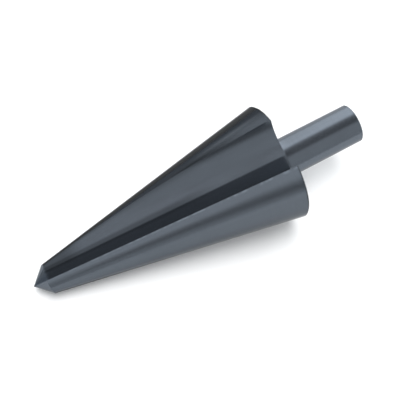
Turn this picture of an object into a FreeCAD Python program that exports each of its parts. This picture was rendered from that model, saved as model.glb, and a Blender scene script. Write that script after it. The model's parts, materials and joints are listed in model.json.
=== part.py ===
"""Tapered sheet drill: one ground piece of hardened steel, in millimetres.

The drill is built about the body's own X axis: the point is at x = 0, the cutting cone
widens to the back face, and the plain round shank follows it. The first flute opens
towards +Z with its cutting lip on the -Y side, so the drill cuts when it turns clockwise
seen from the shank. The finished body is then laid down as it comes to rest on a flat
surface: on the lip and the heel corner of its second flute.
"""
import FreeCAD, Part
import math
import os

import Sketcher

NODE = "cone_drill"

# Driving sizes in millimetres and degrees: name, value, what it is
SIZES = (
    ("large_diameter", 30.5, "diameter of the cone at its back face, before the rim is broken"),
    ("corner_diameter", 7.3, "diameter of the cone where the point begins"),
    ("cone_length", 66.9, "from the tip to the back face of the cone"),
    ("point_angle", 98.0, "angle between the two lips of the point"),
    ("relief_tilt", 4.2, "lean of each flank of the point towards its own lip"),
    ("rim_break", 0.4, "flat that breaks the sharp rim of the back face"),
    ("shank_diameter", 10.0, "diameter of the plain round shank"),
    ("shank_length", 22.0, "from the back face of the cone to the end of the shank"),
    ("shank_break", 0.3, "flat that breaks the edge of the shank end"),
    ("root_radius", 1.5, "fillet between the shank and the back face"),
    ("lip_offset", 3.1, "distance of each rake face past the centre at the back face"),
    ("lip_lead", 2.6, "angle between the rake face and the axis"),
    ("flute_radius", 9.0, "radius of the hollow side of the flute"),
    ("flute_side", 3.2, "sideways place of the centre of that radius at the back face"),
    ("flute_floor", 9.1, "height of the hollow's floor above the axis at the back face"),
    ("flute_rise", 7.0, "angle at which the hollow climbs along the axis"),
    ("gullet_floor", 7.35, "height of the corner under the lip at the back face"),
    ("gullet_rise", 6.1, "angle at which that corner climbs along the axis"),
    ("gullet_slope", 26.0, "slope of the gullet from its corner up to the hollow"),
    ("gullet_radius", 0.1, "fillet in the corner under the lip"),
    ("gullet_reach", 5.6, "width of the gullet cut, outwards from the rake face"),
    ("thinning_length", 3.6, "length of the thinned web behind the tip"),
    ("thinning_rise", 9.0, "angle at which the thinned web climbs along the axis"),
    ("cutter_clearance", 5.0, "how far the cuts reach past the blank"),
)

# Sizes that follow from them: name, formula, what it is
FOLLOWING = (
    ("large_radius", "=large_diameter / 2", "half the large diameter"),
    ("corner_radius", "=corner_diameter / 2", "half the corner diameter"),
    ("shank_radius", "=shank_diameter / 2", "half the shank diameter"),
    ("whole_length", "=cone_length + shank_length", "from the tip to the shank end"),
    ("corner_place", "=corner_radius / tan(point_angle / 2)", "from the tip to the corner"),
    ("taper", "=(large_radius - corner_radius) / (cone_length - corner_place)",
     "growth of the cone's radius for each millimetre of its length"),
    ("nose_place", "=-cutter_clearance / 5", "front of the blank, ahead of the tip"),
    ("nose_radius", "=corner_radius - taper * (corner_place - nose_place)",
     "radius of the blank at its front"),
    ("cut_height", "=large_radius + cutter_clearance", "height that the cuts reach"),
    ("thinning_start", "=thinning_length + gullet_reach / 2",
     "place along the axis that the thinning cut starts from"),
    ("thinning_wall", "=-lip_offset + (cone_length - thinning_start) * tan(lip_lead)",
     "place of the rake face there"),
    ("thinning_floor", "=gullet_floor - (cone_length - thinning_length) * tan(gullet_rise)"
     " + (thinning_start - thinning_length) * tan(thinning_rise)",
     "height of the thinning cut's corner there"),
)

doc = FreeCAD.newDocument("tapered_sheet_drill")


def make_sheet():
    """Write the driving sizes, and those that follow from them, into a spreadsheet."""
    table = doc.addObject("Spreadsheet::Sheet", "Sizes")
    for index, (name, content, note) in enumerate(SIZES + FOLLOWING, start=1):
        table.set("A%d" % index, note)
        table.set("B%d" % index, str(content))
        table.setAlias("B%d" % index, name)
    doc.recompute()
    return table


sheet = make_sheet()


def size(name):
    """Value of a named size, as a plain number."""
    return float(sheet.get(name))


def slope(name):
    """Tangent of a named angle."""
    return math.tan(math.radians(size(name)))


def cell(formula):
    """Expression in which each name in braces is read from the sheet."""
    return formula.replace("{", "Sizes.").replace("}", "")


def new_sketch(body, name, role, place=None):
    """Sketch on one of the body's origin planes, moved along its normal by a formula."""
    sketch = body.newObject("Sketcher::SketchObject", name)
    plane = next(item for item in body.Origin.OriginFeatures if item.Role == role)
    sketch.AttachmentSupport = [(plane, "")]
    sketch.MapMode = "FlatFace"
    if place:
        sketch.setExpression("AttachmentOffset.Base.z", cell(place))
    return sketch


def add_outline(sketch, corners, rounded=None, radius=0.0):
    """Closed outline of lines through the corners, one of which may be rounded.

    rounded is the number of the corner that a tangent arc takes the place of. Returns
    the numbers of the lines, in the order of the corners that they start from.
    """
    starts = [FreeCAD.Vector(across, up, 0) for across, up in corners]
    ends = starts[1:] + starts[:1]
    if rounded is not None:
        corner = starts[rounded]
        back = (starts[rounded - 1] - corner).normalize()
        ahead = (ends[rounded] - corner).normalize()
        cut = radius / math.tan(back.getAngle(ahead) / 2)
        ends[rounded - 1] = corner + back * cut
        starts[rounded] = corner + ahead * cut
        centre = corner + (back + ahead).normalize() * math.hypot(radius, cut)
    lines = [sketch.addGeometry(Part.LineSegment(start, end), False)
             for start, end in zip(starts, ends)]
    for number, line in enumerate(lines):
        if number != rounded:
            sketch.addConstraint(Sketcher.Constraint("Coincident", lines[number - 1], 2, line, 1))
    if rounded is not None:
        leave = ends[rounded - 1] - centre
        meet = starts[rounded] - centre
        circle = Part.Circle(centre, FreeCAD.Vector(0, 0, 1), radius)
        angles = [math.atan2(way.y, way.x) % (2 * math.pi) for way in (leave, meet)]
        arc = sketch.addGeometry(Part.ArcOfCircle(circle, *angles), False)
        sketch.addConstraint(Sketcher.Constraint("Tangent", lines[rounded - 1], 2, arc, 1))
        sketch.addConstraint(Sketcher.Constraint("Tangent", arc, 2, lines[rounded], 1))
    return lines


def bind(sketch, constraint, formula):
    """Add a dimension whose value follows a formula of the sheet's sizes."""
    number = sketch.addConstraint(constraint)
    sketch.setExpression("Constraints[%d]" % number, cell(formula))


def hold(sketch, line, across=None, up=None):
    """Hold the start of a line at distances from the sketch's origin."""
    start = sketch.Geometry[line].StartPoint
    if across:
        bind(sketch, Sketcher.Constraint("DistanceX", line, 1, start.x), across)
    if up:
        bind(sketch, Sketcher.Constraint("DistanceY", line, 1, start.y), up)


def align(sketch, vertical=(), horizontal=()):
    """Keep lines of a sketch upright or level."""
    for line in vertical:
        sketch.addConstraint(Sketcher.Constraint("Vertical", line))
    for line in horizontal:
        sketch.addConstraint(Sketcher.Constraint("Horizontal", line))


def turn_blank(body):
    """Turned blank: the cone, run out past the point, its back face and the shank."""
    sketch = new_sketch(body, "BlankSketch", "XY_Plane")
    back = size("cone_length")
    end = size("whole_length")
    large = size("large_radius")
    shank = size("shank_radius")
    rim = size("rim_break")
    edge = size("shank_break")
    corners = (
        (size("nose_place"), 0),
        (size("nose_place"), size("nose_radius")),
        (back - rim, large - rim * size("taper")),
        (back, large - rim),
        (back, shank),
        (end - edge, shank),
        (end, shank - edge),
        (end, 0),
    )
    lines = add_outline(sketch, corners, rounded=4, radius=size("root_radius"))
    nose, cone, rim_flat, back_face, barrel, end_flat, end_face, axis = lines
    align(sketch, vertical=(nose, back_face, end_face), horizontal=(barrel, axis))
    hold(sketch, nose, across="{nose_place}")
    sketch.addConstraint(Sketcher.Constraint("PointOnObject", nose, 1, -1))
    hold(sketch, cone, up="{nose_radius}")
    hold(sketch, rim_flat, across="{cone_length} - {rim_break}",
         up="{large_radius} - {rim_break} * {taper}")
    hold(sketch, back_face, across="{cone_length}", up="{large_radius} - {rim_break}")
    hold(sketch, end_flat, across="{whole_length} - {shank_break}", up="{shank_radius}")
    hold(sketch, end_face, across="{whole_length}", up="{shank_radius} - {shank_break}")
    root = len(sketch.Geometry) - 1
    bind(sketch, Sketcher.Constraint("Radius", root, size("root_radius")), "{root_radius}")
    doc.recompute()
    blank = body.newObject("PartDesign::Revolution", "Blank")
    blank.Profile = sketch
    blank.ReferenceAxis = (sketch, ["H_Axis"])
    blank.Angle = 360.0
    doc.recompute()
    return blank


def grind_flank(body):
    """Flank behind the first lip of the point: half a cone that leans towards the lip."""
    sketch = new_sketch(body, "FlankSketch", "XZ_Plane")
    half = math.radians(size("point_angle") / 2)
    lean = math.radians(size("relief_tilt"))
    clearance = size("cutter_clearance")
    reach = 2 * clearance
    along = FreeCAD.Vector(math.cos(lean), math.sin(lean), 0)
    outwards = FreeCAD.Vector(-math.sin(lean), math.cos(lean), 0)
    lip_end = FreeCAD.Vector(math.cos(half), math.sin(half), 0) * reach
    ahead = along * -clearance
    above = ahead + outwards * reach
    corners = ((0, 0), (lip_end.x, lip_end.y), (above.x, above.y), (ahead.x, ahead.y))
    lip, top, front, base = add_outline(sketch, corners)
    spindle = sketch.addGeometry(
        Part.LineSegment(FreeCAD.Vector(0, 0, 0), along * clearance), True)
    for line in (lip, spindle):
        sketch.addConstraint(Sketcher.Constraint("Coincident", line, 1, -1, 1))
    sketch.addConstraint(Sketcher.Constraint("Parallel", base, spindle))
    sketch.addConstraint(Sketcher.Constraint("Perpendicular", front, base))
    bind(sketch, Sketcher.Constraint("Angle", -1, 1, lip, 1, half), "{point_angle} / 2")
    bind(sketch, Sketcher.Constraint("Angle", -1, 1, spindle, 1, lean), "{relief_tilt}")
    for line, length, formula in (
        (lip, reach, "2 * {cutter_clearance}"),
        (front, reach, "2 * {cutter_clearance}"),
        (base, clearance, "{cutter_clearance}"),
        (spindle, clearance, "{cutter_clearance}"),
    ):
        bind(sketch, Sketcher.Constraint("Distance", line, length), formula)
    doc.recompute()
    flank = body.newObject("PartDesign::Groove", "Flank")
    flank.Profile = sketch
    flank.ReferenceAxis = (sketch, ["Axis0"])
    flank.Angle = 180.0
    doc.recompute()
    return flank


def cut_along(body, name, sketch, length, rise):
    """Cut a profile from its plane towards the tip, along the rake face and a rise."""
    cut = body.newObject("PartDesign::Pocket", name)
    cut.Profile = sketch
    cut.Type = "Length"
    cut.UseCustomVector = True
    cut.AlongSketchNormal = True
    cut.Direction = FreeCAD.Vector(-1, slope("lip_lead"), -slope(rise))
    cut.setExpression("Direction.y", cell("tan({lip_lead})"))
    cut.setExpression("Direction.z", cell("-tan({%s})" % rise))
    cut.setExpression("Length", cell(length))
    doc.recompute()
    return cut


def cut_hollow(body):
    """Hollow side of the first flute: a channel with a round floor, open above."""
    sketch = new_sketch(body, "HollowSketch", "YZ_Plane", "{cone_length}")
    radius = size("flute_radius")
    top = size("cut_height")
    centre = FreeCAD.Vector(size("flute_side"), size("flute_floor") + radius, 0)
    wall = -size("lip_offset")
    floor_start = math.acos((wall - centre.x) / radius)
    low = centre.y - radius * math.sin(floor_start)
    heel = centre.x + radius
    circle = Part.Circle(centre, FreeCAD.Vector(0, 0, 1), radius)
    floor = sketch.addGeometry(Part.ArcOfCircle(circle, -floor_start, 0.0), False)
    ends = ((heel, centre.y), (heel, top), (wall, top), (wall, low))
    spots = [FreeCAD.Vector(across, up, 0) for across, up in ends]
    heel_side, cover, wall_side = [
        sketch.addGeometry(Part.LineSegment(start, end), False)
        for start, end in zip(spots, spots[1:])]
    ring = (floor, heel_side, cover, wall_side)
    for line, following in zip(ring, ring[1:] + ring[:1]):
        sketch.addConstraint(Sketcher.Constraint("Coincident", line, 2, following, 1))
    align(sketch, vertical=(heel_side, wall_side), horizontal=(cover,))
    bind(sketch, Sketcher.Constraint("Radius", floor, radius), "{flute_radius}")
    bind(sketch, Sketcher.Constraint("DistanceX", floor, 3, centre.x), "{flute_side}")
    bind(sketch, Sketcher.Constraint("DistanceY", floor, 3, centre.y),
         "{flute_floor} + {flute_radius}")
    hold(sketch, heel_side, up="{flute_floor} + {flute_radius}")
    hold(sketch, cover, up="{cut_height}")
    hold(sketch, wall_side, across="-{lip_offset}")
    doc.recompute()
    return cut_along(body, "Hollow", sketch, "{cone_length} + {cutter_clearance}",
                     "flute_rise")


def cut_gullet(body, name, place, wall, floor, length, rise):
    """Cut along the first rake face: the face, a rounded corner and a sloping floor.

    place, wall, floor and length are formulas of the sheet's sizes, for the profile's
    place along the axis, its wall's place, its corner's height and the cut's length.
    """
    sketch = new_sketch(body, name + "Sketch", "YZ_Plane", place)
    for key, formula in (("Wall", wall), ("Floor", floor)):
        sketch.addProperty("App::PropertyFloat", key, "Profile")
        sketch.setExpression(key, cell(formula))
    doc.recompute()
    near = sketch.Wall
    low = sketch.Floor
    far = near + size("gullet_reach")
    high = low + size("gullet_reach") * slope("gullet_slope")
    top = size("cut_height")
    corners = ((near, top), (near, low), (far, high), (far, top))
    lines = add_outline(sketch, corners, rounded=1, radius=size("gullet_radius"))
    rake, bed, outer, cover = lines
    align(sketch, vertical=(rake, outer), horizontal=(cover,))
    hold(sketch, rake, across=wall, up="{cut_height}")
    hold(sketch, outer, across="%s + {gullet_reach}" % wall,
         up="%s + {gullet_reach} * tan({gullet_slope})" % floor)
    bind(sketch, Sketcher.Constraint("Angle", -1, 1, bed, 1, math.atan(slope("gullet_slope"))),
         "{gullet_slope}")
    corner = len(sketch.Geometry) - 1
    bind(sketch, Sketcher.Constraint("Radius", corner, size("gullet_radius")),
         "{gullet_radius}")
    doc.recompute()
    return cut_along(body, name, sketch, length, rise)


def copy_round(body, features):
    """Repeat features on the other side of the axis, for the second flute and lip."""
    pattern = body.newObject("PartDesign::PolarPattern", "SecondFlute")
    pattern.Originals = features
    pattern.Axis = (next(item for item in body.Origin.OriginFeatures
                         if item.Role == "X_Axis"), [""])
    pattern.Angle = 360.0
    pattern.Occurrences = 2
    body.Tip = pattern
    doc.recompute()
    return pattern


def rest_placement(shape):
    """Placement that lays the drill on its second flute, on the plane Z = 0.

    Three points of the second flute touch the surface: the lip at the rim, the heel at
    the rim and the corner of the lip at the point. The shank points along +X, and the
    origin is under the middle of the drill's box.
    """
    rim_place = size("cone_length") - size("rim_break")
    rim_radius = size("large_radius") - size("rim_break") * size("taper")

    def lip(place, radius):
        across = -size("lip_offset") + (size("cone_length") - place) * slope("lip_lead")
        return FreeCAD.Vector(place, -across, -math.sqrt(radius ** 2 - across ** 2))

    lip_rim = lip(rim_place, rim_radius)
    lip_corner = lip(size("corner_place"), size("corner_radius"))
    heel_rim = heel_on_rim(rim_place, rim_radius)
    up = (heel_rim - lip_corner).cross(lip_rim - lip_corner).normalize()
    if up.dot(lip_rim) > 0:
        up = up * -1
    axis = FreeCAD.Vector(1, 0, 0)
    along = (axis - up * axis.dot(up)).normalize()
    side = up.cross(along)
    turn = FreeCAD.Matrix(along.x, along.y, along.z, 0,
                          side.x, side.y, side.z, 0,
                          up.x, up.y, up.z, 0,
                          0, 0, 0, 1)
    laid = shape.copy()
    laid.Placement = FreeCAD.Placement(turn)
    box = laid.optimalBoundingBox(False, False)
    shift = FreeCAD.Vector(-box.Center.x, -box.Center.y, -box.ZMin)
    return FreeCAD.Placement(shift, FreeCAD.Placement(turn).Rotation)


def heel_on_rim(place, radius):
    """Point of the rim where the hollow of the second flute runs out."""
    back = size("cone_length") - place
    side = size("flute_side") + back * slope("lip_lead")
    height = size("flute_floor") + size("flute_radius") - back * slope("flute_rise")
    # The rim and the hollow's floor are two circles, about the axis and about the centre
    apart = math.hypot(side, height)
    along = (apart ** 2 + radius ** 2 - size("flute_radius") ** 2) / (2 * apart)
    off = math.sqrt(radius ** 2 - along ** 2)
    across = (along * side + off * height) / apart
    up = (along * height - off * side) / apart
    return FreeCAD.Vector(place, -across, -up)


def build_drill():
    """Make the drill's body: blank, flank, flute cuts, and the same again opposite."""
    body = doc.addObject("PartDesign::Body", "ConeDrill")
    body.Label = NODE
    volumes = [turn_blank(body).Shape.Volume]
    features = [
        grind_flank(body),
        cut_hollow(body),
        cut_gullet(body, "Gullet", "{cone_length}", "-{lip_offset}", "{gullet_floor}",
                   "{cone_length} + {cutter_clearance}", "gullet_rise"),
        cut_gullet(body, "Thinning", "{thinning_start}", "{thinning_wall}",
                   "{thinning_floor}", "{thinning_start} + {cutter_clearance}",
                   "thinning_rise"),
    ]
    features_and_copy = features + [copy_round(body, features)]
    volumes += [feature.Shape.Volume for feature in features_and_copy]
    for feature, before, after in zip(features_and_copy, volumes, volumes[1:]):
        if after >= before:
            raise RuntimeError("%s removed nothing" % feature.Name)
    body.Placement = rest_placement(body.Shape)
    doc.recompute()
    return body


def check_document(body):
    """Stop if any object failed, or if the drill isn't one valid closed solid."""
    for item in doc.Objects:
        if "Invalid" in item.State or "Error" in item.State:
            raise RuntimeError("%s: %s" % (item.Name, item.State))
    shape = body.Shape
    if shape.isNull() or not shape.isValid() or len(shape.Solids) != 1:
        raise RuntimeError("%s is not one valid solid" % body.Label)


drill = build_drill()
check_document(drill)
os.makedirs("parts", exist_ok=True)
drill.Shape.exportStep("parts/%s.step" % NODE)
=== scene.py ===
"""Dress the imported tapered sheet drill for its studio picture.

The drill's own mesh is worked out here from the same sizes as its solid: clean rows of
faces follow each ground surface, and the mesh takes the place of the solid's coarse
triangles. Lengths are in metres and angles in radians.

In the drill's own frame its axis is X, the point is at the origin and the first flute
opens towards +Z, with its rake face looking towards +Y. An angle round the axis starts
from +Z and grows towards -Y, which is the way from a lip across the land behind it.
"""
import json
import logging
import math
from dataclasses import dataclass, field
from enum import Enum

import bmesh
import bpy
import numpy as np
from mathutils import Matrix, Vector
from mathutils.geometry import tessellate_polygon

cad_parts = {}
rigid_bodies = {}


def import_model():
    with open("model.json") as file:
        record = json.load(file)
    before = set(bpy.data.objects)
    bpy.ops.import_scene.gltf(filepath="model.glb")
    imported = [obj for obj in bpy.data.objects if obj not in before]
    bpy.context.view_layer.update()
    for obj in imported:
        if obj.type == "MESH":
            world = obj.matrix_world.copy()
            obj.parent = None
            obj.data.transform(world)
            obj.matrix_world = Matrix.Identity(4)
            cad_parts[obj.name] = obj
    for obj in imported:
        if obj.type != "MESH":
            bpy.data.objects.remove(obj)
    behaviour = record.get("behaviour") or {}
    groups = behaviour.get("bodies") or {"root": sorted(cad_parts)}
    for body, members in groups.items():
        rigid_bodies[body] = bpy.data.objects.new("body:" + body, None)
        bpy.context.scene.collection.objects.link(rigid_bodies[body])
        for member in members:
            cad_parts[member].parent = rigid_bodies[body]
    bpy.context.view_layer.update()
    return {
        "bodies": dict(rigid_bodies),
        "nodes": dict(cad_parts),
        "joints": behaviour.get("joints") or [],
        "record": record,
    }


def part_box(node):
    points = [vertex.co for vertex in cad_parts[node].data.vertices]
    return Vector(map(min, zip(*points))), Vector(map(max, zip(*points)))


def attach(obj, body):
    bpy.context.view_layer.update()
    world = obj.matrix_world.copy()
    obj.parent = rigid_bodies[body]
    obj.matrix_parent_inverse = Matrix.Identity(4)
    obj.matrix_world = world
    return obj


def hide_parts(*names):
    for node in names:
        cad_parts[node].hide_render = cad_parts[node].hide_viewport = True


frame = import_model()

NODE = "cone_drill"

Signal = bpy.types.NodeSocket | float
Pair = tuple[float, float]
Triple = tuple[float, float, float]

# Edges that bend less than this are shaded smooth
SMOOTH_BEND = math.radians(18)
# What turns a point half round the drill's axis
HALF_TURN = np.array([1.0, -1.0, -1.0])

log = logging.getLogger("drill")


@dataclass(frozen=True)
class DrillSizes:
    """Sizes of the drill, the same ones that its solid is made from."""

    large_diameter: float = 0.0305
    corner_diameter: float = 0.0073
    cone_length: float = 0.0669
    point_angle: float = math.radians(98.0)
    relief_tilt: float = math.radians(4.2)
    rim_break: float = 0.0004
    shank_diameter: float = 0.010
    shank_length: float = 0.0220
    shank_break: float = 0.0003
    root_radius: float = 0.0015
    lip_offset: float = 0.0031
    lip_lead: float = math.radians(2.6)
    flute_radius: float = 0.0090
    flute_side: float = 0.0032
    flute_floor: float = 0.0091
    flute_rise: float = math.radians(7.0)
    gullet_floor: float = 0.00735
    gullet_rise: float = math.radians(6.1)
    gullet_slope: float = math.radians(26.0)
    gullet_radius: float = 0.0001
    thinning_length: float = 0.0036
    thinning_rise: float = math.radians(9.0)

    @property
    def corner_place(self) -> float:
        """Place along the axis where the point meets the cone at a lip."""
        return self.corner_diameter / 2 / math.tan(self.point_angle / 2)

    @property
    def taper(self) -> float:
        """Growth of the cone's radius for each metre of its length."""
        growth = (self.large_diameter - self.corner_diameter) / 2
        return growth / (self.cone_length - self.corner_place)

    @property
    def rim_place(self) -> float:
        """Place along the axis where the break of the rim begins."""
        return self.cone_length - self.rim_break

    @property
    def whole_length(self) -> float:
        """Length of the drill, from the tip to the end of its shank."""
        return self.cone_length + self.shank_length


class Surface(Enum):
    """Kinds of ground surface, as the numbers that the faces carry."""

    LAND = 0
    FLANK = 1
    FLUTE = 2
    BACK = 3
    SHANK = 4


class Side(Enum):
    """Sides of a flute, as the step at the outer end of its outline there."""

    LIP = 0.0
    HEEL = 4.0


class Outside:
    """Outside of the cutting cone: the cone, its broken rim and the flanks of the point."""

    def __init__(self, sizes: DrillSizes) -> None:
        """Keep the drill's sizes."""
        self.sizes = sizes

    def cone(self, place: np.ndarray) -> np.ndarray:
        """Radius of the cone, or of the break at its rim, at places along the axis.

        Args:
            place: Places along the axis.

        Returns:
            One radius for each place.
        """
        s = self.sizes
        radius = s.large_diameter / 2 - (s.cone_length - place) * s.taper
        edge = s.large_diameter / 2 - s.rim_break * s.taper
        share = np.clip((place - s.rim_place) / s.rim_break, 0, 1)
        broken = edge + (s.large_diameter / 2 - s.rim_break - edge) * share
        return np.where(place > s.rim_place, broken, radius)

    def flank_growth(self, angle: np.ndarray) -> np.ndarray:
        """Radius of the flank for each metre from the tip, at angles behind its lip.

        Args:
            angle: Angles round the axis, from the flank's own lip backwards.

        Returns:
            One growth of the radius for each angle.
        """
        lean = self.sizes.relief_tilt
        half = self.sizes.point_angle / 2 - lean
        towards = np.cos(angle) * math.sin(lean)
        square = math.cos(half) ** 2 - towards ** 2
        part = towards * math.cos(lean)
        rest = square * (math.cos(lean) ** 2 - math.cos(half) ** 2)
        return (part + np.sqrt(part ** 2 + rest)) / square

    def radius(self, place: np.ndarray, angle: np.ndarray) -> np.ndarray:
        """Radius of the outside, where angle is measured from the nearest lip backwards."""
        return np.minimum(self.cone(place), place * self.flank_growth(angle))

    def shoulder(self, angle: np.ndarray) -> np.ndarray:
        """Place along the axis of the edge between the flank and the cone.

        Args:
            angle: Angles round the axis, from the nearest lip backwards.

        Returns:
            One place for each angle.
        """
        s = self.sizes
        start = s.corner_diameter / 2 - s.taper * s.corner_place
        return start / (self.flank_growth(angle) - s.taper)


class FluteOutline:
    """Outline of the first flute in sections across the axis.

    A step says how far along the outline a point is: 0 to 1 comes down the rake face, 1 to
    2 goes round the corner under the lip, 2 to 3 climbs the gullet's bed to the ridge, and
    3 to 4 follows the hollow out past the heel.
    """

    def __init__(self, sizes: DrillSizes) -> None:
        """Work out what the sections share.

        Args:
            sizes: Sizes of the drill.
        """
        self.sizes = sizes
        self.slope = math.tan(sizes.gullet_slope)
        opening = (math.pi / 2 - sizes.gullet_slope) / 2
        self.cut = sizes.gullet_radius / math.tan(opening)

    def wall(self, place: np.ndarray) -> np.ndarray:
        """Sideways place of the rake face."""
        s = self.sizes
        return -s.lip_offset + (s.cone_length - place) * math.tan(s.lip_lead)

    def corner(self, place: np.ndarray) -> np.ndarray:
        """Height of the corner between the rake face and the gullet's bed.

        Args:
            place: Places along the axis.

        Returns:
            One height above the axis for each place.
        """
        s = self.sizes
        gullet = s.gullet_floor - (s.cone_length - place) * math.tan(s.gullet_rise)
        meet = s.gullet_floor - (s.cone_length - s.thinning_length) * math.tan(s.gullet_rise)
        thinned = meet - (s.thinning_length - place) * math.tan(s.thinning_rise)
        return np.minimum(gullet, thinned)

    def centre(self, place: np.ndarray) -> tuple[np.ndarray, np.ndarray]:
        """Centre of the hollow's arc, sideways and up.

        Args:
            place: Places along the axis.

        Returns:
            The sideways places of the centre, and its heights.
        """
        s = self.sizes
        ahead = s.cone_length - place
        side = s.flute_side + ahead * math.tan(s.lip_lead)
        height = s.flute_floor + s.flute_radius - ahead * math.tan(s.flute_rise)
        return side, height

    def ridge(self, place: np.ndarray) -> np.ndarray:
        """Sideways place of the ridge between the gullet's bed and the hollow.

        Args:
            place: Places along the axis.

        Returns:
            One sideways place for each place along the axis.
        """
        side, height = self.centre(place)
        drop = self.corner(place) - self.slope * self.wall(place) - height
        first = 1 + self.slope ** 2
        second = self.slope * drop - side
        third = side ** 2 + drop ** 2 - self.sizes.flute_radius ** 2
        return (-second - np.sqrt(second ** 2 - first * third)) / first

    def points(self, place: np.ndarray, step: np.ndarray) -> np.ndarray:
        """Points of the outline.

        Args:
            place: Places along the axis.
            step: Steps along the outline, of the same shape.

        Returns:
            The points in the drill's frame, with x, y and z last.
        """
        s = self.sizes
        wall = self.wall(place)
        corner = self.corner(place)
        side, height = self.centre(place)
        ridge = self.ridge(place)
        foot = corner + self.cut
        rake = foot + (1 - step) * s.large_diameter / 2
        turn = math.pi + (step - 1) * (math.pi / 2 + s.gullet_slope)
        bend_side = wall + s.gullet_radius * (1 + np.cos(turn))
        bend_up = foot + s.gullet_radius * np.sin(turn)
        bed_start = wall + self.cut * math.cos(s.gullet_slope)
        bed_side = bed_start + (step - 2) * (ridge - bed_start)
        bed_up = corner + self.slope * (bed_side - wall)
        start = np.arcsin(np.clip((ridge - side) / s.flute_radius, -1, 1))
        swing = start + (step - 3) * (math.pi / 2 - start)
        hollow_side = side + s.flute_radius * np.sin(swing)
        hollow_up = height - s.flute_radius * np.cos(swing)
        pieces = [step < 1, step < 2, step < 3]
        across = np.select(pieces, [wall, bend_side, bed_side], hollow_side)
        up = np.select(pieces, [rake, bend_up, bed_up], hollow_up)
        return np.stack([place, across, up], axis=-1)


class Patchwork:
    """Vertices and faces gathered from patches.

    Each face has its surface's number, and each of its corners has its shares of the way
    across and along the patch, as a UV map.
    """

    def __init__(self) -> None:
        """Start with nothing."""
        self.points: list[np.ndarray] = []
        self.faces: list[tuple[int, ...]] = []
        self.surfaces: list[int] = []
        self.shares: list[Pair] = []
        self.count = 0

    def _add_points(self, points: np.ndarray) -> int:
        """Add points.

        Args:
            points: Points, with x, y and z last.

        Returns:
            The number of the first point added.
        """
        first = self.count
        flat = np.asarray(points, float).reshape(-1, 3)
        self.points.append(flat)
        self.count += len(flat)
        return first

    def _add_face(self, corners: tuple[int, ...], surface: Surface,
                  shares: tuple[Pair, ...] = ()) -> None:
        """Add one face, with the shares of its patch that its corners are at.

        Args:
            corners: Numbers of the face's points.
            surface: Kind of surface that the face is on.
            shares: Shares across and along the patch, a pair for each corner.
        """
        self.faces.append(corners)
        self.surfaces.append(surface.value)
        self.shares.extend(shares or [(0.5, 0.5)] * len(corners))

    def grid(self, points: np.ndarray, surface: Surface) -> None:
        """Add quads over rows and columns of points.

        Args:
            points: Points by row and column, with x, y and z last.
            surface: Kind of surface of the quads.
        """
        rows, columns = points.shape[:2]
        first = self._add_points(points)
        for row in range(rows - 1):
            for column in range(columns - 1):
                low = first + row * columns + column
                high = low + columns
                left, right = column / (columns - 1), (column + 1) / (columns - 1)
                front, back = row / (rows - 1), (row + 1) / (rows - 1)
                shares = ((left, front), (right, front), (right, back), (left, back))
                self._add_face((low, low + 1, high + 1, high), surface, shares)

    def fan(self, tip: np.ndarray, ring: np.ndarray, surface: Surface) -> None:
        """Add triangles from one point to an open ring of points.

        Args:
            tip: The one point.
            ring: Points of the ring, in order.
            surface: Kind of surface of the triangles.
        """
        first = self._add_points(np.vstack([tip, ring]))
        for number in range(1, len(ring)):
            self._add_face((first, first + number, first + number + 1), surface)

    def flat(self, ring: np.ndarray, surface: Surface) -> None:
        """Fill a closed ring of points that lie in one plane across the axis.

        Args:
            ring: Points of the ring, in order.
            surface: Kind of surface of the filling.
        """
        first = self._add_points(ring)
        outline = [Vector((y, z, 0.0)) * 1000 for _, y, z in ring]
        for corners in tessellate_polygon([outline]):
            self._add_face(tuple(first + corner for corner in corners), surface)

    def mesh(self, name: str) -> bpy.types.Mesh:
        """Make a mesh of everything gathered.

        Args:
            name: Name of the mesh.

        Returns:
            The mesh, with an attribute "surface" and a UV map "share".
        """
        made = bpy.data.meshes.new(name)
        made.from_pydata(np.vstack(self.points).tolist(), [], self.faces)
        numbers = made.attributes.new("surface", "INT", "FACE")
        numbers.data.foreach_set("value", self.surfaces)
        shares = made.uv_layers.new(name="share")
        shares.data.foreach_set("uv", np.array(self.shares).ravel())
        return made


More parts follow.
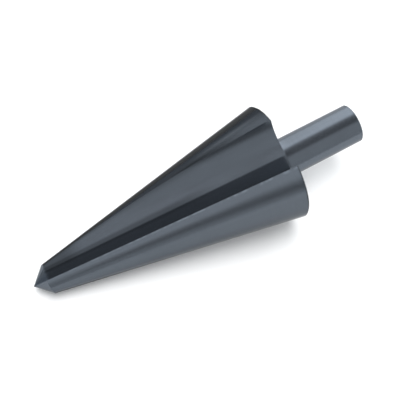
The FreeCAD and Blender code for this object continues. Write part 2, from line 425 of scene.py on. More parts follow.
@dataclass
class DrillBody:
    """The drill: one flute and the land behind it, made once and repeated opposite.

    The flute's columns are those of its rake face, corner, bed and hollow. The hollow
    starts a third of the way across them, as its tones expect.
    """

    sizes: DrillSizes = field(default_factory=DrillSizes)
    nose: float = 0.0006
    point_rows: int = 28
    cone_rows: int = 72
    fillet_rows: int = 9
    shank_rows: int = 12
    land_columns: int = 96
    flute_columns: tuple[int, ...] = (8, 8, 4, 40)
    shank_columns: int = 72
    outline_steps: int = 1601
    halvings: int = 60
    corner_rounds: int = 40

    def __post_init__(self) -> None:
        """Make the outline and outside that the rows are worked out from."""
        self.outline = FluteOutline(self.sizes)
        self.outside = Outside(self.sizes)

    def _beyond(self, place: np.ndarray, step: np.ndarray) -> np.ndarray:
        """How far points of the flute's outline lie outside the drill.

        Args:
            place: Places along the axis.
            step: Steps along the outline, of the same shape.

        Returns:
            One distance for each point, below 0 inside the drill.
        """
        points = self.outline.points(place, step)
        across, up = points[..., 1], points[..., 2]
        behind = np.arctan2(-across, up)
        # On the far side of the axis the outside belongs to the other lip
        behind = np.where(across > 0, behind + math.pi, behind)
        return np.hypot(across, up) - self.outside.radius(place, behind)

    def edge_step(self, place: np.ndarray, side: Side) -> np.ndarray:
        """Steps at which the outline leaves the drill.

        Args:
            place: Places along the axis.
            side: The lip or the heel.

        Returns:
            One step for each place.
        """
        steps = np.linspace(0, 4, self.outline_steps)
        grid = self._beyond(*np.broadcast_arrays(place[:, None], steps[None, :]))
        inside = steps[np.argmin(grid, axis=1)]
        outside = np.full_like(inside, side.value)
        for _ in range(self.halvings):
            middle = (inside + outside) / 2
            out = self._beyond(place, middle) > 0
            outside = np.where(out, middle, outside)
            inside = np.where(out, inside, middle)
        return (inside + outside) / 2

    def _edge(self, place: np.ndarray, side: Side) -> tuple[np.ndarray, np.ndarray]:
        """Steps of the lip or the heel, and the angles behind the lip that they are at.

        Args:
            place: Places along the axis.
            side: The lip or the heel.

        Returns:
            One step and one angle for each place.
        """
        step = self.edge_step(place, side)
        points = self.outline.points(place, step)
        if side is Side.HEEL:
            # The land ends at the heel of the other flute
            points = points * HALF_TURN
        return step, np.arctan2(-points[..., 1], points[..., 2])

    def _corner_place(self, side: Side) -> float:
        """Place along the axis where the lip or the heel crosses the shoulder.

        Args:
            side: The lip or the heel.

        Returns:
            The place.
        """
        place = np.array([self.sizes.corner_place])
        for _ in range(self.corner_rounds):
            place = self.outside.shoulder(self._edge(place, side)[1])
        return float(place[0])

    def _places(self, shoulder: np.ndarray) -> np.ndarray:
        """Places along the axis of all rows, for columns with their own shoulder.

        Args:
            shoulder: Place of the shoulder in each column.

        Returns:
            Places by row and column.
        """
        point = np.linspace(0, 1, self.point_rows)[:-1, None]
        cone = np.linspace(0, 1, self.cone_rows)[:, None]
        ahead = self.nose + (shoulder - self.nose) * point
        behind = shoulder + (self.sizes.rim_place - shoulder) * cone
        last = np.full_like(shoulder, self.sizes.cone_length)[None, :]
        return np.vstack([ahead, behind, last])

    def half(self) -> bpy.types.Mesh:
        """Mesh of one half of the drill: a flute, the land behind its lip and the shank.

        Returns:
            The mesh, in the drill's own frame.
        """
        work = Patchwork()
        corners = np.array([self._corner_place(side) for side in Side])
        places = self._places(corners)
        lip_place, heel_place = places[:, 0], places[:, 1]
        lip_step, lip_angle = self._edge(lip_place, Side.LIP)
        heel_step, heel_angle = self._edge(heel_place, Side.HEEL)

        flute = self._flute(lip_place, heel_place, lip_step, heel_step)
        land = self._land(lip_angle, heel_angle)
        land[:, 0] = flute[:, 0]
        land[:, -1] = flute[:, -1] * HALF_TURN
        shoulder = self.point_rows - 1
        work.grid(flute, Surface.FLUTE)
        work.grid(land[:shoulder + 1], Surface.FLANK)
        work.grid(land[shoulder:], Surface.LAND)

        front = np.vstack([flute[0, ::-1], land[0, 1:]])
        work.fan(np.zeros(3), front, Surface.FLANK)
        back = np.vstack([flute[-1, ::-1], land[-1, 1:]])
        heel = -math.atan2(back[0, 1], back[0, 2])
        rings = self._shank(heel)
        work.flat(np.vstack([back, rings[0, ::-1]]), Surface.BACK)
        work.grid(rings, Surface.SHANK)
        centre = np.array([self.sizes.whole_length, 0.0, 0.0])
        work.fan(centre, rings[-1], Surface.SHANK)
        return work.mesh("half_drill")

    def _flute(self, lip_place: np.ndarray, heel_place: np.ndarray,
               lip_step: np.ndarray, heel_step: np.ndarray) -> np.ndarray:
        """Rows of points across the flute, from the lip to the heel.

        Args:
            lip_place: Place of the lip in each row.
            heel_place: Place of the heel in each row.
            lip_step: Step of the lip in each row.
            heel_step: Step of the heel in each row.

        Returns:
            Points by row and column.
        """
        columns = []
        for piece, count in enumerate(self.flute_columns):
            start = np.clip(piece, lip_step, heel_step)
            end = np.clip(piece + 1, lip_step, heel_step)
            share = np.linspace(0, 1, count + 1)[:, None]
            if piece:
                share = share[1:]
            columns.append(start + (end - start) * share)
        step = np.vstack(columns).T
        share = (step - lip_step[:, None]) / (heel_step - lip_step)[:, None]
        place = lip_place[:, None] + (heel_place - lip_place)[:, None] * share
        return self.outline.points(place, step)

    def _land(self, lip_angle: np.ndarray, heel_angle: np.ndarray) -> np.ndarray:
        """Rows of points over the flank and the land, from the lip to the heel.

        Args:
            lip_angle: Angle of the lip in each row.
            heel_angle: Angle of the heel in each row.

        Returns:
            Points by row and column.
        """
        share = np.linspace(0, 1, self.land_columns + 1)
        angle = lip_angle[:, None] + (heel_angle - lip_angle)[:, None] * share
        shoulder = self.outside.shoulder(angle[self.point_rows - 1])
        place = self._places(shoulder)
        radius = self.outside.radius(place, angle)
        return np.stack([place, -radius * np.sin(angle), radius * np.cos(angle)], axis=-1)

    def _shank(self, start: float) -> np.ndarray:
        """Rings of points along half of the root fillet and the shank.

        Args:
            start: Angle at which the half starts.

        Returns:
            Points by ring and column.
        """
        s = self.sizes
        radius = s.shank_diameter / 2
        turn = np.linspace(0, math.pi / 2, self.fillet_rows)
        place = s.cone_length + s.root_radius * (1 - np.cos(turn))
        away = radius + s.root_radius * (1 - np.sin(turn))
        straight = np.linspace(place[-1], s.whole_length - s.shank_break,
                               self.shank_rows)[1:]
        place = np.concatenate([place, straight, [s.whole_length]])
        away = np.concatenate([away, np.full_like(straight, radius),
                               [radius - s.shank_break]])
        angle = start + np.linspace(0, math.pi, self.shank_columns + 1)
        rings = [place[:, None] + 0 * angle, -away[:, None] * np.sin(angle),
                 away[:, None] * np.cos(angle)]
        return np.stack(rings, axis=-1)


@dataclass(frozen=True)
class RoundRepeat:
    """Geometry Nodes tree that repeats a piece about X, welds it and dresses it."""

    copies: int = 2
    weld: float = 1.0e-6

    def tree(self) -> bpy.types.NodeTree:
        """Build the node tree, with inputs for its sizes and its finish.

        Returns:
            The tree.
        """
        tree = bpy.data.node_groups.new("Round repeat", "GeometryNodeTree")
        face = tree.interface
        face.new_socket("Geometry", in_out="INPUT", socket_type="NodeSocketGeometry")
        face.new_socket("Copies", in_out="INPUT", socket_type="NodeSocketInt")
        face.new_socket("Weld distance", in_out="INPUT", socket_type="NodeSocketFloat")
        face.new_socket("Finish", in_out="INPUT", socket_type="NodeSocketMaterial")
        face.new_socket("Geometry", in_out="OUTPUT", socket_type="NodeSocketGeometry")
        add, link = tree.nodes.new, tree.links.new
        given = add("NodeGroupInput")
        line = add("GeometryNodeMeshLine")
        line.inputs["Offset"].default_value = (0.0, 0.0, 0.0)
        number = add("GeometryNodeInputIndex")
        part = add("ShaderNodeMath")
        part.operation = "DIVIDE"
        angle = add("ShaderNodeMath")
        angle.operation = "MULTIPLY"
        angle.inputs[1].default_value = 2 * math.pi
        turn = add("ShaderNodeCombineXYZ")
        rotation = add("FunctionNodeEulerToRotation")
        place = add("GeometryNodeInstanceOnPoints")
        real = add("GeometryNodeRealizeInstances")
        weld = add("GeometryNodeMergeByDistance")
        dress = add("GeometryNodeSetMaterial")
        result = add("NodeGroupOutput")
        link(given.outputs["Copies"], line.inputs["Count"])
        link(number.outputs["Index"], part.inputs[0])
        link(given.outputs["Copies"], part.inputs[1])
        link(part.outputs[0], angle.inputs[0])
        link(angle.outputs[0], turn.inputs["X"])
        link(turn.outputs[0], rotation.inputs[0])
        link(line.outputs["Mesh"], place.inputs["Points"])
        link(given.outputs["Geometry"], place.inputs["Instance"])
        link(rotation.outputs[0], place.inputs["Rotation"])
        link(place.outputs["Instances"], real.inputs["Geometry"])
        link(real.outputs["Geometry"], weld.inputs["Geometry"])
        link(given.outputs["Weld distance"], weld.inputs["Distance"])
        link(weld.outputs["Geometry"], dress.inputs["Geometry"])
        link(given.outputs["Finish"], dress.inputs["Material"])
        link(dress.outputs["Geometry"], result.inputs["Geometry"])
        return tree

    def whole(self, half: bpy.types.Mesh, finish: bpy.types.Material) -> bpy.types.Mesh:
        """Run the tree on a half.

        Args:
            half: Mesh of one of the pieces that go round the axis.
            finish: Material of the result.

        Returns:
            A plain mesh of the whole.
        """
        half.materials.append(finish)
        holder = bpy.data.objects.new("half", half)
        bpy.context.scene.collection.objects.link(holder)
        repeat = holder.modifiers.new("Round repeat", "NODES")
        repeat.node_group = self.tree()
        values = {"Copies": self.copies, "Weld distance": self.weld, "Finish": finish}
        for item in repeat.node_group.interface.items_tree:
            if item.in_out == "INPUT" and item.name in values:
                repeat[item.identifier] = values[item.name]
        graph = bpy.context.evaluated_depsgraph_get()
        whole = bpy.data.meshes.new_from_object(holder.evaluated_get(graph))
        holder.modifiers.remove(repeat)
        bpy.data.objects.remove(holder)
        return whole


class RestPose:
    """How the drill lies on its second flute, worked out as its solid's pose is."""

    def __init__(self, body: DrillBody) -> None:
        """Find the turn that puts the three points of contact on the surface.

        Args:
            body: Body of the drill.
        """
        s = body.sizes
        place = np.array([s.rim_place, s.corner_place])
        lips = body.outline.points(place, body.edge_step(place, Side.LIP))
        heels = body.outline.points(place, body.edge_step(place, Side.HEEL))
        lip, corner, heel = (Vector(point * HALF_TURN)
                             for point in (lips[0], lips[1], heels[0]))
        up = (heel - corner).cross(lip - corner).normalized()
        if up.dot(lip) > 0:
            up.negate()
        axis = Vector((1.0, 0.0, 0.0))
        along = (axis - up * axis.dot(up)).normalized()
        self.turn = Matrix((along, up.cross(along), up))

    def matrix(self, half: bpy.types.Mesh) -> Matrix:
        """Matrix that lays the drill where its solid lies.

        Args:
            half: Half of the drill in its own frame.

        Returns:
            The matrix from the drill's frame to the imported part's frame.
        """
        points = np.array([vertex.co for vertex in half.vertices])
        both = np.vstack([points, points * HALF_TURN])
        turned = both @ np.array(self.turn).T
        low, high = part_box(NODE)
        middle = (turned.min(axis=0) + turned.max(axis=0)) / 2
        shift = Vector(((low.x + high.x) / 2 - middle[0], (low.y + high.y) / 2 - middle[1],
                        low.z - turned[:, 2].min()))
        return Matrix.Translation(shift) @ self.turn.to_4x4()


@dataclass(frozen=True)
class Wiring:
    """Shorthand for adding nodes to a tree and joining them."""

    tree: bpy.types.NodeTree

    def feed(self, value: Signal, socket: bpy.types.NodeSocket) -> None:
        """Join an output to an input, or set the input to a plain value.

        Args:
            value: The output or the plain value.
            socket: The input.
        """
        if isinstance(value, bpy.types.NodeSocket):
            self.tree.links.new(value, socket)
        else:
            socket.default_value = value

    def math(self, operation: str, *values: Signal) -> bpy.types.NodeSocket:
        """Add a math node.

        Args:
            operation: Name of the operation.
            values: Its values, in order.

        Returns:
            The result.
        """
        node = self.tree.nodes.new("ShaderNodeMath")
        node.operation = operation
        for value, socket in zip(values, node.inputs):
            self.feed(value, socket)
        return node.outputs[0]

    def step(self, value: Signal, empty: float, full: float) -> bpy.types.NodeSocket:
        """Smooth step that is 0 at one value and 1 at the other.

        Args:
            value: Value to test.
            empty: Value at which the step is 0.
            full: Value at which the step is 1.

        Returns:
            The step.
        """
        node = self.tree.nodes.new("ShaderNodeMapRange")
        node.interpolation_type = "SMOOTHSTEP"
        self.feed(value, node.inputs["Value"])
        node.inputs["From Min"].default_value = empty
        node.inputs["From Max"].default_value = full
        return node.outputs["Result"]

    def blend(self, weight: Signal, first: Signal, second: Signal) -> bpy.types.NodeSocket:
        """Mix two plain values.

        Args:
            weight: Share of the second value.
            first: First value.
            second: Second value.

        Returns:
            The mixed value.
        """
        node = self.tree.nodes.new("ShaderNodeMix")
        self.feed(weight, node.inputs["Factor"])
        self.feed(first, node.inputs["A"])
        self.feed(second, node.inputs["B"])
        return node.outputs["Result"]

    def scaled(self, colour: Triple, amount: Signal) -> bpy.types.NodeSocket:
        """Multiply a colour by a plain value.

        Args:
            colour: The colour.
            amount: What the colour is multiplied by.

        Returns:
            The scaled colour.
        """
        node = self.tree.nodes.new("ShaderNodeVectorMath")
        node.operation = "SCALE"
        node.inputs[0].default_value = colour
        self.feed(amount, node.inputs["Scale"])
        return node.outputs[0]

    def noise(self, point: bpy.types.NodeSocket, scale: Triple,
              detail: float) -> bpy.types.NodeSocket:
        """Noise around 0 at a point that is scaled first.

        Args:
            point: The point.
            scale: Scale along each axis.
            detail: Number of finer layers.

        Returns:
            The noise.
        """
        stretch = self.tree.nodes.new("ShaderNodeVectorMath")
        stretch.operation = "MULTIPLY"
        self.feed(point, stretch.inputs[0])
        stretch.inputs[1].default_value = scale
        node = self.tree.nodes.new("ShaderNodeTexNoise")
        node.inputs["Scale"].default_value = 1.0
        node.inputs["Detail"].default_value = detail
        self.feed(stretch.outputs[0], node.inputs["Vector"])
        return self.math("SUBTRACT", node.outputs["Fac"], 0.5)


class Spot:
    """Outputs that tell a material where on the drill it is."""

    def __init__(self, wire: Wiring, to_drill: Matrix) -> None:
        """Add the nodes that find the place.

        Args:
            wire: Wiring of the material's tree.
            to_drill: Matrix from the part's frame to the drill's own frame.
        """
        self.wire = wire
        add, link = wire.tree.nodes.new, wire.tree.links.new
        turned = add("ShaderNodeMapping")
        turned.inputs["Location"].default_value = to_drill.to_translation()
        turned.inputs["Rotation"].default_value = to_drill.to_euler()
        link(add("ShaderNodeTexCoord").outputs["Object"], turned.inputs["Vector"])
        self.point = turned.outputs["Vector"]
        parts = add("ShaderNodeSeparateXYZ")
        link(self.point, parts.inputs[0])
        self.along = parts.outputs["X"]
        square = [wire.math("MULTIPLY", parts.outputs[axis], parts.outputs[axis])
                  for axis in ("Y", "Z")]
        self.away = wire.math("SQRT", wire.math("ADD", *square))
        shares = add("ShaderNodeUVMap")
        shares.uv_map = "share"
        across = add("ShaderNodeSeparateXYZ")
        link(shares.outputs["UV"], across.inputs[0])
        self.share = across.outputs["X"]
        kind = add("ShaderNodeAttribute")
        kind.attribute_name = "surface"
        self.kind = kind.outputs["Fac"]

    def on(self, surface: Surface) -> bpy.types.NodeSocket:
        """Output that is 1 on one kind of surface and 0 elsewhere."""
        return self.wire.math("COMPARE", self.kind, float(surface.value), 0.5)


@dataclass(frozen=True)
class BlackOxide:
    """Ground tool steel with a blue-black oxide coat.

    A tone is a share of the oxide's colour, and it scales the tint of the reflections too.
    The tones along the lip, over the middle of the land, by its heel, at the foot of the
    hollow and by its outer edge are painted shade and painted highlights; the bare steel
    worn at the lip is also partly a painted highlight of the lip's edge. A tone comes in
    over a span, a pair of shares of the way across a surface from its lip, or over a reach,
    a pair of places along the axis. In both, the tone is absent at the first value and full
    at the second.
    """

    sizes: DrillSizes
    name: str = "black oxide on ground steel"
    colour: Triple = (0.108, 0.124, 0.145)
    specular: Triple = (0.6, 0.6, 0.6)
    metallic: float = 0.8
    roughness: float = 0.22
    roughness_change: float = -0.3
    bump_strength: float = 0.08
    bump_distance: float = 0.00002

    cloud_scale: Triple = (130.0, 130.0, 130.0)
    mottle: float = 0.14
    ring_scale: Triple = (1300.0, 1.0, 1.0)
    turned: float = 0.07
    turned_rim: float = 0.16
    turned_rim_reach: Pair = (0.050, 0.060)
    line_scale: Triple = (40.0, 900.0, 900.0)
    drawn: float = 0.18

    # Bare steel worn at the lip in specks; its lighter tone is also a painted highlight of
    # the lip's bright edge
    worn_and_painted_glint_tone: float = 1.4
    worn_and_painted_glint_span: Pair = (0.022, 0.008)
    speck_scale: Triple = (900.0, 900.0, 900.0)
    speck_limits: Pair = (-0.08, 0.08)
    # Painted highlight along the lip of the land
    lip_painted_highlight: float = 1.3
    lip_painted_highlight_span: Pair = (0.12, 0.06)
    # Painted shade over the middle of the land
    middle_painted_shade: float = 0.82
    middle_painted_shade_start: Pair = (0.16, 0.28)
    middle_painted_shade_end: Pair = (0.58, 0.50)
    # Painted shade on the land towards its heel
    heel_painted_shade: float = 0.32
    heel_painted_shade_span: Pair = (0.585, 0.635)
    # Painted highlight by the heel near the rim
    heel_painted_highlight: float = 1.35
    heel_painted_highlight_span: Pair = (0.86, 0.97)
    heel_painted_highlight_reach: Pair = (0.044, 0.064)
    rim_tone: float = 0.5
    rim_fade: float = 0.0001

    flank_tone: float = 0.92

    hollow_start: Pair = (0.295, 0.325)
    # Painted shade at the foot of the hollow
    foot_painted_shade: float = 0.62
    foot_painted_shade_end: Pair = (0.47, 0.35)
    foot_painted_shade_reach: Pair = (0.052, 0.036)
    # Painted shade towards the hollow's outer edge by the heel
    outer_painted_shade: float = 0.75
    outer_painted_shade_span: Pair = (0.82, 1.0)
    thinned_tone: float = 1.9
    thinned_reach: Pair = (0.0043, 0.0033)
    point_tone: float = 0.62
    point_start: Pair = (0.0033, 0.0043)
    point_end: Pair = (0.015, 0.009)

    def material(self, to_drill: Matrix) -> bpy.types.Material:
        """Build the material.

        Args:
            to_drill: Matrix from the part's frame to the drill's own frame.

        Returns:
            The material.
        """
        made = bpy.data.materials.new(self.name)
        made.use_nodes = True
        wire = Wiring(made.node_tree)
        spot = Spot(wire, to_drill)
        marks = self._marks(wire, spot)
        # The tone carries painted shade and painted highlights into the base colour and the
        # tint of the reflections
        oxide_and_painted_light = self._oxide_and_painted_light(wire, spot)
        tone = wire.math("MULTIPLY", wire.math("ADD", marks, 1.0), oxide_and_painted_light)
        shader = made.node_tree.nodes["Principled BSDF"]
        wire.feed(wire.scaled(self.colour, tone), shader.inputs["Base Color"])
        wire.feed(wire.scaled(self.specular, oxide_and_painted_light), shader.inputs["Specular Tint"])
        shader.inputs["Metallic"].default_value = self.metallic
        uneven = wire.math("MULTIPLY_ADD", marks, self.roughness_change, self.roughness)
        wire.feed(uneven, shader.inputs["Roughness"])
        bump = wire.tree.nodes.new("ShaderNodeBump")
        bump.inputs["Strength"].default_value = self.bump_strength
        bump.inputs["Distance"].default_value = self.bump_distance
        wire.feed(marks, bump.inputs["Height"])
        wire.feed(bump.outputs["Normal"], shader.inputs["Normal"])
        return made

    def _marks(self, wire: Wiring, spot: Spot) -> bpy.types.NodeSocket:
        """Grinding marks: rings on turned surfaces, and lengthwise lines in the flutes.

        Args:
            wire: Wiring of the material's tree.
            spot: Outputs that say where on the drill it is.

        Returns:
            Height of the marks, around 0.
        """
        clouds = wire.noise(spot.point, self.cloud_scale, 3.0)
        ringed = wire.tree.nodes.new("ShaderNodeCombineXYZ")
        wire.feed(wire.math("ADD", spot.along, spot.away), ringed.inputs["X"])
        rings = wire.noise(ringed.outputs[0], self.ring_scale, 3.0)
        lines = wire.noise(spot.point, self.line_scale, 2.0)
        depth = wire.blend(wire.step(spot.along, *self.turned_rim_reach), self.turned,
                           self.turned_rim)
        fine = wire.blend(spot.on(Surface.FLUTE), wire.math("MULTIPLY", rings, depth),
                          wire.math("MULTIPLY", lines, self.drawn))
        return wire.math("MULTIPLY_ADD", clouds, self.mottle, fine)

    def _oxide_and_painted_light(self, wire: Wiring, spot: Spot) -> bpy.types.NodeSocket:
        """Slow changes of the oxide's tone, as shares of its colour, with painted shade and
        painted highlights among them.

        Args:
            wire: Wiring of the material's tree.
            spot: Outputs that say where on the drill it is.

        Returns:
            The tone.
        """
        total: Signal = 1.0
        for surface, tones in ((Surface.LAND, self._land_tones(wire, spot)),
                               (Surface.FLANK, [(1.0, self.flank_tone)]),
                               (Surface.FLUTE, self._flute_tones(wire, spot))):
            where = spot.on(surface)
            for weight, tone in tones:
                here = wire.math("MULTIPLY", weight, where)
                total = wire.math("MULTIPLY", total, wire.blend(here, 1.0, tone))
        return total

    def _land_tones(self, wire: Wiring, spot: Spot) -> list[tuple[Signal, float]]:
        """Tones of the land from its lip to its heel, each after its weight: worn bare steel
        at the lip that is also a painted highlight of its edge, a painted highlight along
        the lip, painted shade over the middle and towards the heel, a painted highlight by
        the heel near the rim, and a darker rim break.

        Args:
            wire: Wiring of the material's tree.
            spot: Outputs that say where on the drill it is.

        Returns:
            Pairs of a weight and a tone.
        """
        share, along = spot.share, spot.along
        specks = wire.step(wire.noise(spot.point, self.speck_scale, 1.0),
                           *self.speck_limits)
        # Worn bare steel at the lip, lighter, which also paints the highlight of the lip's
        # bright edge
        worn_and_painted_glint = wire.math("MULTIPLY", wire.step(share, *self.worn_and_painted_glint_span), specks)
        # Painted shade over the middle of the land, for a dimmer reflection there
        middle = wire.math("MULTIPLY", wire.step(share, *self.middle_painted_shade_start),
                           wire.step(share, *self.middle_painted_shade_end))
        # Painted highlight by the heel near the rim, where the painted heel shade is cleared
        clear = wire.math("MULTIPLY", wire.step(share, *self.heel_painted_highlight_span),
                          wire.step(along, *self.heel_painted_highlight_reach))
        # Painted shade towards the heel, left out where the painted highlight by the heel is
        heel = wire.math("MULTIPLY", wire.step(share, *self.heel_painted_shade_span),
                         wire.math("SUBTRACT", 1.0, clear))
        rim = self.sizes.rim_place
        return [(worn_and_painted_glint, self.worn_and_painted_glint_tone),
                # Painted highlight along the lip
                (wire.step(share, *self.lip_painted_highlight_span), self.lip_painted_highlight),
                (middle, self.middle_painted_shade),
                (heel, self.heel_painted_shade),
                (clear, self.heel_painted_highlight),
                (wire.step(along, rim - self.rim_fade, rim), self.rim_tone)]

    def _flute_tones(self, wire: Wiring, spot: Spot) -> list[tuple[Signal, float]]:
        """Tones of the flute, each after its weight: painted shade at the foot of the hollow
        and towards its outer edge, a lighter thinned point and a darker hollow near the
        point.

        Args:
            wire: Wiring of the material's tree.
            spot: Outputs that say where on the drill it is.

        Returns:
            Pairs of a weight and a tone.
        """
        share, along = spot.share, spot.along
        hollow = wire.step(share, *self.hollow_start)
        # Painted shade at the foot of the hollow, next to the gullet's bed and away from the
        # rim
        foot = wire.math("MULTIPLY", hollow, wire.step(share, *self.foot_painted_shade_end))
        foot = wire.math("MULTIPLY", foot, wire.step(along, *self.foot_painted_shade_reach))
        point = wire.math("MULTIPLY", wire.step(along, *self.point_start),
                          wire.step(along, *self.point_end))
        return [(foot, self.foot_painted_shade),
                # Painted shade towards the hollow's outer edge by the heel
                (wire.step(share, *self.outer_painted_shade_span), self.outer_painted_shade),
                (wire.step(along, *self.thinned_reach), self.thinned_tone),
                (wire.math("MULTIPLY", point, hollow), self.point_tone)]


@dataclass(frozen=True)
class SoftPanel:
    """Soft-edged patch of the room's walls, lighter or darker than the rest.

    The heading is measured from +Y towards +X, and the halves are half angles.
    """

    heading: float
    elevation: float
    lean: float
    half_width: float
    half_height: float
    softness: float
    level: float

    def axes(self) -> tuple[Vector, Vector, Vector]:
        """Directions across the patch, up it, and out to its middle.

        Returns:
            The three directions.
        """
        turn = Matrix.Rotation(math.radians(-self.heading), 3, "Z")
        tilt = Matrix.Rotation(math.radians(self.elevation), 3, "X")
        lean = Matrix.Rotation(math.radians(self.lean), 3, "Y")
        frame = turn @ tilt @ lean
        return frame.col[0], frame.col[2], frame.col[1]

    def add(self, wire: Wiring, direction: bpy.types.NodeSocket,
            level: Signal) -> bpy.types.NodeSocket:
        """Add the patch to the room's shader.

        Args:
            wire: Wiring of the world's tree.
            direction: Output that gives the direction looked in.
            level: Brightness without the patch.

        Returns:
            Output that gives the brightness with the patch.
        """
        across, up, out = self.axes()
        # The far side of the room, where the other two parts are the same, is left out
        weight = wire.step(self._along(wire, direction, out), 0.0, 0.1)
        for axis, half in ((across, self.half_width), (up, self.half_height)):
            size = wire.math("ABSOLUTE", self._along(wire, direction, axis))
            outer = math.sin(math.radians(min(half + self.softness, 90)))
            inner = math.sin(math.radians(half - self.softness))
            weight = wire.math("MULTIPLY", weight, wire.step(size, outer, inner))
        return wire.blend(weight, level, self.level)

    @staticmethod
    def _along(wire: Wiring, direction: bpy.types.NodeSocket,
               axis: Vector) -> bpy.types.NodeSocket:
        """Part of the direction that points along an axis.

        Args:
            wire: Wiring of the world's tree.
            direction: Output that gives the direction looked in.
            axis: The axis.

        Returns:
            Length of that part.
        """
        dot = wire.tree.nodes.new("ShaderNodeVectorMath")
        dot.operation = "DOT_PRODUCT"
        wire.feed(direction, dot.inputs[0])
        dot.inputs[1].default_value = axis
        return dot.outputs["Value"]


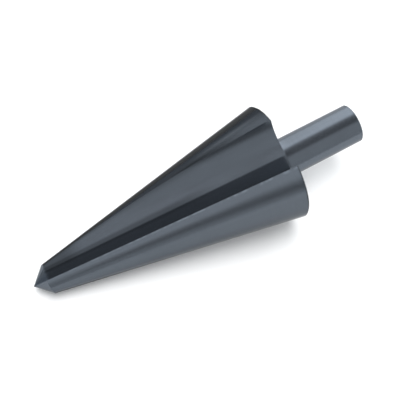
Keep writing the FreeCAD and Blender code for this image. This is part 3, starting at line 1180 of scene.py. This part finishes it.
@dataclass(frozen=True)
class Studio:
    """White sweep, a pale room with soft panels, and the camera."""

    floor_half: float = 1.5
    floor_white: float = 1.0
    floor_lift: float = 0.02
    room_level: float = 0.34
    room_colour: Triple = (0.975, 1.0, 1.02)
    panels: tuple[SoftPanel, ...] = (
        # Two pale walls
        SoftPanel(heading=185, elevation=25, lean=0, half_width=36, half_height=40,
                  softness=9, level=0.88),
        SoftPanel(heading=240, elevation=72, lean=0, half_width=42, half_height=24,
                  softness=9, level=0.88),
        # Two bright windows
        SoftPanel(heading=26, elevation=28, lean=0, half_width=14, half_height=32,
                  softness=8, level=2.9),
        SoftPanel(heading=58, elevation=26, lean=0, half_width=18, half_height=26,
                  softness=8, level=1.8),
        # Two dark cards
        SoftPanel(heading=187, elevation=16, lean=-30, half_width=16, half_height=5,
                  softness=4.5, level=0.08),
        SoftPanel(heading=110, elevation=80, lean=0, half_width=14, half_height=10,
                  softness=6, level=0.1),
    )
    key_place: Triple = (-0.17, 0.42, 3.48)
    key_size: float = 2.26
    key_power: float = 85.6
    lens: float = 90.54
    sensor_width: float = 36.0
    camera_place: Triple = (-0.0809573, -0.0575546, 0.2349311)
    heading: float = math.radians(54.52691)
    elevation: float = math.radians(66.09538)
    roll: float = math.radians(-27.18613)

    def build(self) -> None:
        """Build the floor, the room and the camera."""
        self._camera()
        self._floor()
        self._room()
        self._key()

    def _camera(self) -> None:
        """Set up the camera where the photograph was taken from."""
        data = bpy.data.cameras.new("camera")
        data.lens = self.lens
        data.sensor_width = self.sensor_width
        data.clip_start = 0.01
        data.clip_end = 20.0
        camera = bpy.data.objects.new("camera", data)
        bpy.context.scene.collection.objects.link(camera)
        level = Matrix.Rotation(-self.heading, 3, "Z")
        tilt = Matrix.Rotation(math.pi / 2 - self.elevation, 3, "X")
        roll = Matrix.Rotation(-self.roll, 3, "Z")
        camera.matrix_world = (Matrix.Translation(self.camera_place)
                               @ (level @ tilt @ roll).to_4x4())
        bpy.context.scene.camera = camera

    def _floor(self) -> None:
        """Lay a white floor under the drill."""
        half = self.floor_half
        data = bpy.data.meshes.new("floor")
        corners = [(-half, -half, 0), (half, -half, 0), (half, half, 0), (-half, half, 0)]
        data.from_pydata(corners, [], [(0, 1, 2, 3)])
        floor = bpy.data.objects.new("floor", data)
        bpy.context.scene.collection.objects.link(floor)
        data.materials.append(self._paper())

    def _paper(self) -> bpy.types.Material:
        """White paper that the camera, and metal, see a little overexposed.

        Returns:
            The material.
        """
        made = bpy.data.materials.new("white sweep")
        made.use_nodes = True
        nodes, link = made.node_tree.nodes, made.node_tree.links.new
        nodes.clear()
        paper = nodes.new("ShaderNodeBsdfDiffuse")
        paper.inputs["Color"].default_value = (*(self.floor_white,) * 3, 1.0)
        wire = Wiring(made.node_tree)
        path = nodes.new("ShaderNodeLightPath")
        seen = path.outputs["Is Camera Ray"]
        for kind in ("Is Glossy Ray", "Is Transmission Ray"):
            seen = wire.math("MAXIMUM", seen, path.outputs[kind])
        glow = nodes.new("ShaderNodeEmission")
        wire.feed(wire.math("MULTIPLY", seen, self.floor_lift), glow.inputs["Strength"])
        both = nodes.new("ShaderNodeAddShader")
        link(paper.outputs[0], both.inputs[0])
        link(glow.outputs[0], both.inputs[1])
        out = nodes.new("ShaderNodeOutputMaterial")
        link(both.outputs[0], out.inputs["Surface"])
        return made

    def _room(self) -> None:
        """Light the room evenly, and add its panels."""
        world = bpy.data.worlds.new("room")
        bpy.context.scene.world = world
        world.use_nodes = True
        wire = Wiring(world.node_tree)
        direction = wire.tree.nodes.new("ShaderNodeTexCoord").outputs["Generated"]
        level: Signal = self.room_level
        for panel in self.panels:
            level = panel.add(wire, direction, level)
        back = wire.tree.nodes["Background"]
        back.inputs["Color"].default_value = (*self.room_colour, 1.0)
        wire.feed(level, back.inputs["Strength"])

    def _key(self) -> None:
        """Hang a soft lamp overhead that throws the shadow and isn't mirrored."""
        data = bpy.data.lights.new("key", "AREA")
        data.shape = "DISK"
        data.size = self.key_size
        data.energy = self.key_power
        lamp = bpy.data.objects.new("key", data)
        bpy.context.scene.collection.objects.link(lamp)
        lamp.location = self.key_place
        lamp.rotation_mode = "QUATERNION"
        lamp.rotation_quaternion = Vector(self.key_place).to_track_quat("Z", "Y")
        lamp.visible_glossy = False


def close_up(mesh: bpy.types.Mesh) -> None:
    """Point the faces of a closed mesh outwards and mark its sharp edges.

    Args:
        mesh: The mesh, which is changed.
    """
    work = bmesh.new()
    work.from_mesh(mesh)
    bmesh.ops.recalc_face_normals(work, faces=work.faces)
    if work.calc_volume(signed=True) < 0:
        bmesh.ops.reverse_faces(work, faces=work.faces)
    open_edges = sum(not edge.is_manifold for edge in work.edges)
    log.info("open edges %d, volume %.1f mm3", open_edges, work.calc_volume() * 1e9)
    kind = work.faces.layers.int["surface"]
    for edge in work.edges:
        kinds = {face[kind] for face in edge.link_faces}
        # The ridge inside a flute is ground soft
        edge.smooth = (kinds == {Surface.FLUTE.value}
                       or edge.calc_face_angle(0.0) < SMOOTH_BEND)
    for face in work.faces:
        face.smooth = True
    work.to_mesh(mesh)
    work.free()


def build_drill() -> bpy.types.Object:
    """Build the drill, lay it where its solid lies and dress it.

    Returns:
        The drill.
    """
    body = DrillBody()
    half = body.half()
    laid = RestPose(body).matrix(half)
    finish = BlackOxide(body.sizes).material(laid.inverted())
    mesh = RoundRepeat().whole(half, finish)
    close_up(mesh)
    mesh.transform(laid)
    mesh.name = "drill"
    drill = bpy.data.objects.new("drill", mesh)
    bpy.context.scene.collection.objects.link(drill)
    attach(drill, "root")
    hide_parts(NODE)
    log.info("%s: %d faces", drill.name, len(mesh.polygons))
    return drill


def main() -> None:
    """Build the whole scene."""
    logging.basicConfig(level=logging.INFO, format="%(name)s: %(message)s")
    bpy.context.scene.view_settings.view_transform = "Standard"
    build_drill()
    Studio().build()


if __name__ == "__main__":
    main()
